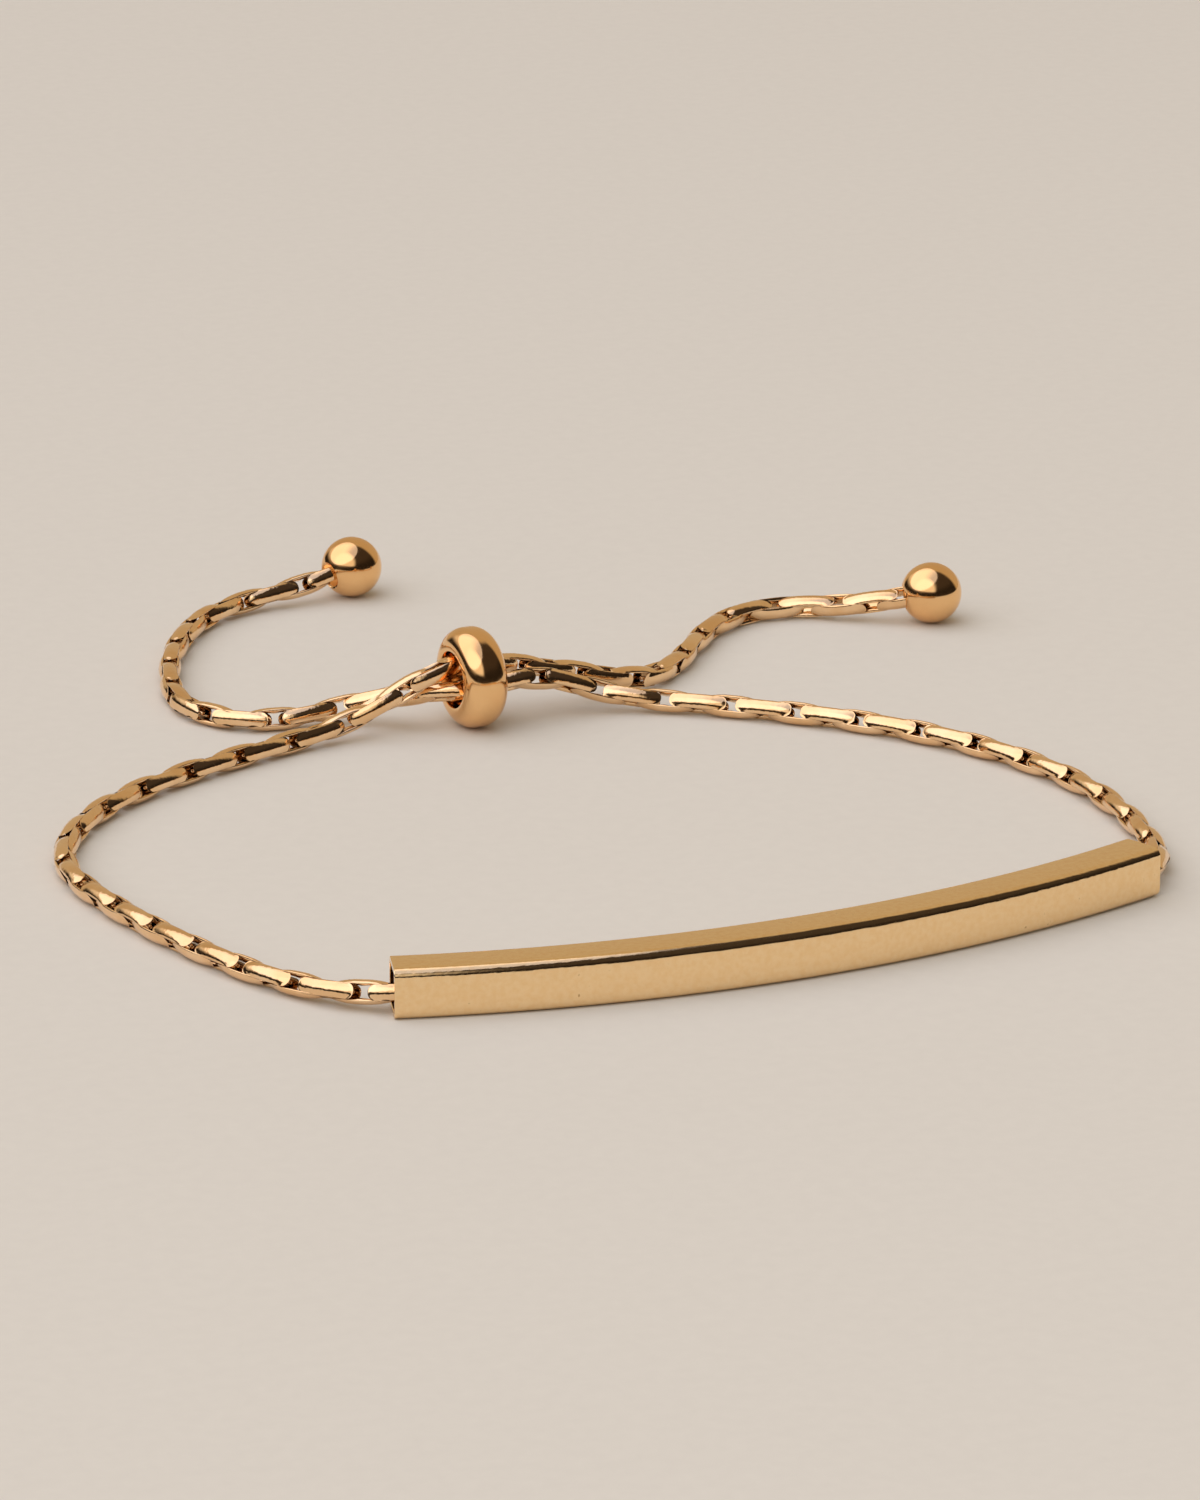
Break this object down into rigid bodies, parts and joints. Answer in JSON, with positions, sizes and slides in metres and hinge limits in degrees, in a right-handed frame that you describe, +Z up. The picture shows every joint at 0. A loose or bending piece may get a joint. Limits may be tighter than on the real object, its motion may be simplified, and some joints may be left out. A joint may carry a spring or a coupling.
{
  "type": "bolo slider bracelet",
  "caption": "Adjustable slide bracelet: a curved square tube on fine square-sided link chain, drawn through a round slider bead, each free end finished with a small ball",
  "frame": {"origin": "on the surface the bracelet lies on, under the middle of the square tube", "axes": "X runs along the tube, Y from the tube towards the slider bead, Z points up from the surface"},
  "size_m": [0.061, 0.0683, 0.0053],
  "materials": {
    "bar_gold": "polished yellow gold tone with light wear",
    "chain_gold": "polished yellow gold tone",
    "bead_gold": "mirror polished yellow gold tone"
  },
  "bodies": {
    "root": {"bar_tube": "bar_gold", "chain": "chain_gold", "slider_bead": "bead_gold", "end_ball_right": "bead_gold", "end_ball_left": "bead_gold"}
  },
  "joints": []
}
